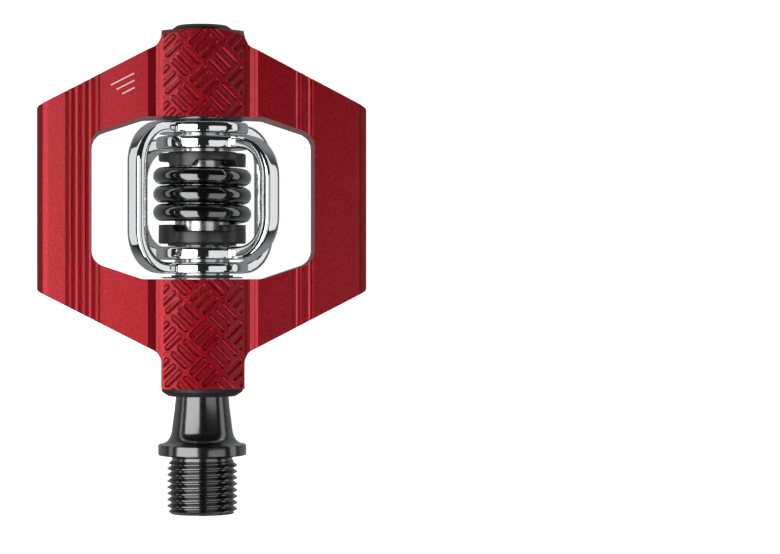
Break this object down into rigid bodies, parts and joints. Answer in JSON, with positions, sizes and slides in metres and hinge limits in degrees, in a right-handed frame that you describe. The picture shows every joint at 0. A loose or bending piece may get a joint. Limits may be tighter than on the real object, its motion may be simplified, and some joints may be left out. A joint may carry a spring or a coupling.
{
  "type": "clipless bicycle pedal",
  "caption": "Clipless bicycle pedal: a red fluted platform body round a sprung four-arm steel cage that grips a shoe cleat, on a threaded spindle.",
  "frame": {"origin": "on the spindle axis, at the face of the spindle's flange that seats against the crank", "axes": "+Y along the spindle from the thread out to the end cap; +Z normal to the platform; +X across the platform"},
  "size_m": [0.0668, 0.0997, 0.0308],
  "materials": {
    "red_anodised": "bead-blasted red anodising, satin",
    "black_steel": "satin black coated steel",
    "black_spring": "gloss black coated spring steel",
    "chromed_steel": "polished chromium plate",
    "ground_steel": "ground steel, satin",
    "bearing_steel": "lapped bearing steel",
    "black_plastic": "moulded black plastic, satin",
    "black_rubber": "moulded rubber, matt",
    "bush_plastic": "self-lubricating bearing plastic, matt",
    "cage_plastic": "moulded nylon, matt"
  },
  "bodies": {
    "axle": {"spindle": "black_steel", "bearing_inner_race": "bearing_steel", "lock_nut": "ground_steel"},
    "pedal": {"pedal_body": "red_anodised", "core_sleeve": "ground_steel", "inner_bush": "bush_plastic", "inner_seal": "black_rubber", "bearing_outer_race": "bearing_steel", "bearing_shield_inboard": "ground_steel", "bearing_shield_outboard": "ground_steel", "end_cap": "black_plastic", "end_cap_o_ring": "black_rubber", "inboard_wing_washer": "black_plastic", "outboard_wing_washer": "black_plastic", "inboard_spring_seat": "black_plastic", "outboard_spring_seat": "black_plastic", "torsion_spring": "black_spring"},
    "ball_cage": {"bearing_ball_cage": "cage_plastic", "bearing_ball_1": "bearing_steel", "bearing_ball_2": "bearing_steel", "bearing_ball_3": "bearing_steel", "bearing_ball_4": "bearing_steel", "bearing_ball_5": "bearing_steel", "bearing_ball_6": "bearing_steel", "bearing_ball_7": "bearing_steel"},
    "outer_wing": {"outer_wing": "chromed_steel"},
    "inner_wing": {"inner_wing": "chromed_steel"}
  },
  "joints": [
    {"name": "body_spin", "type": "hinge", "parent": "axle", "child": "pedal", "pos_m": [0, 0.05, 0], "axis": [0, 1, 0], "continuous": true},
    {"name": "ball_cage_spin", "type": "hinge", "parent": "axle", "child": "ball_cage", "pos_m": [0, 0.0785, 0], "axis": [0, 1, 0], "continuous": true},
    {"name": "outer_wing_swing", "type": "hinge", "parent": "pedal", "child": "outer_wing", "pos_m": [0, 0.0523, 0], "axis": [0, -1, 0], "range_deg": [0, 22], "stiffness_Nm_per_rad": 0.5, "deforming": ["torsion_spring"]},
    {"name": "inner_wing_swing", "type": "hinge", "parent": "pedal", "child": "inner_wing", "pos_m": [0, 0.0523, 0], "axis": [0, 1, 0], "range_deg": [0, 22], "stiffness_Nm_per_rad": 0.5, "deforming": ["torsion_spring"]}
  ],
  "couplings": [
    {"joint": "ball_cage_spin", "follows": "body_spin", "ratio": 0.6253}
  ]
}
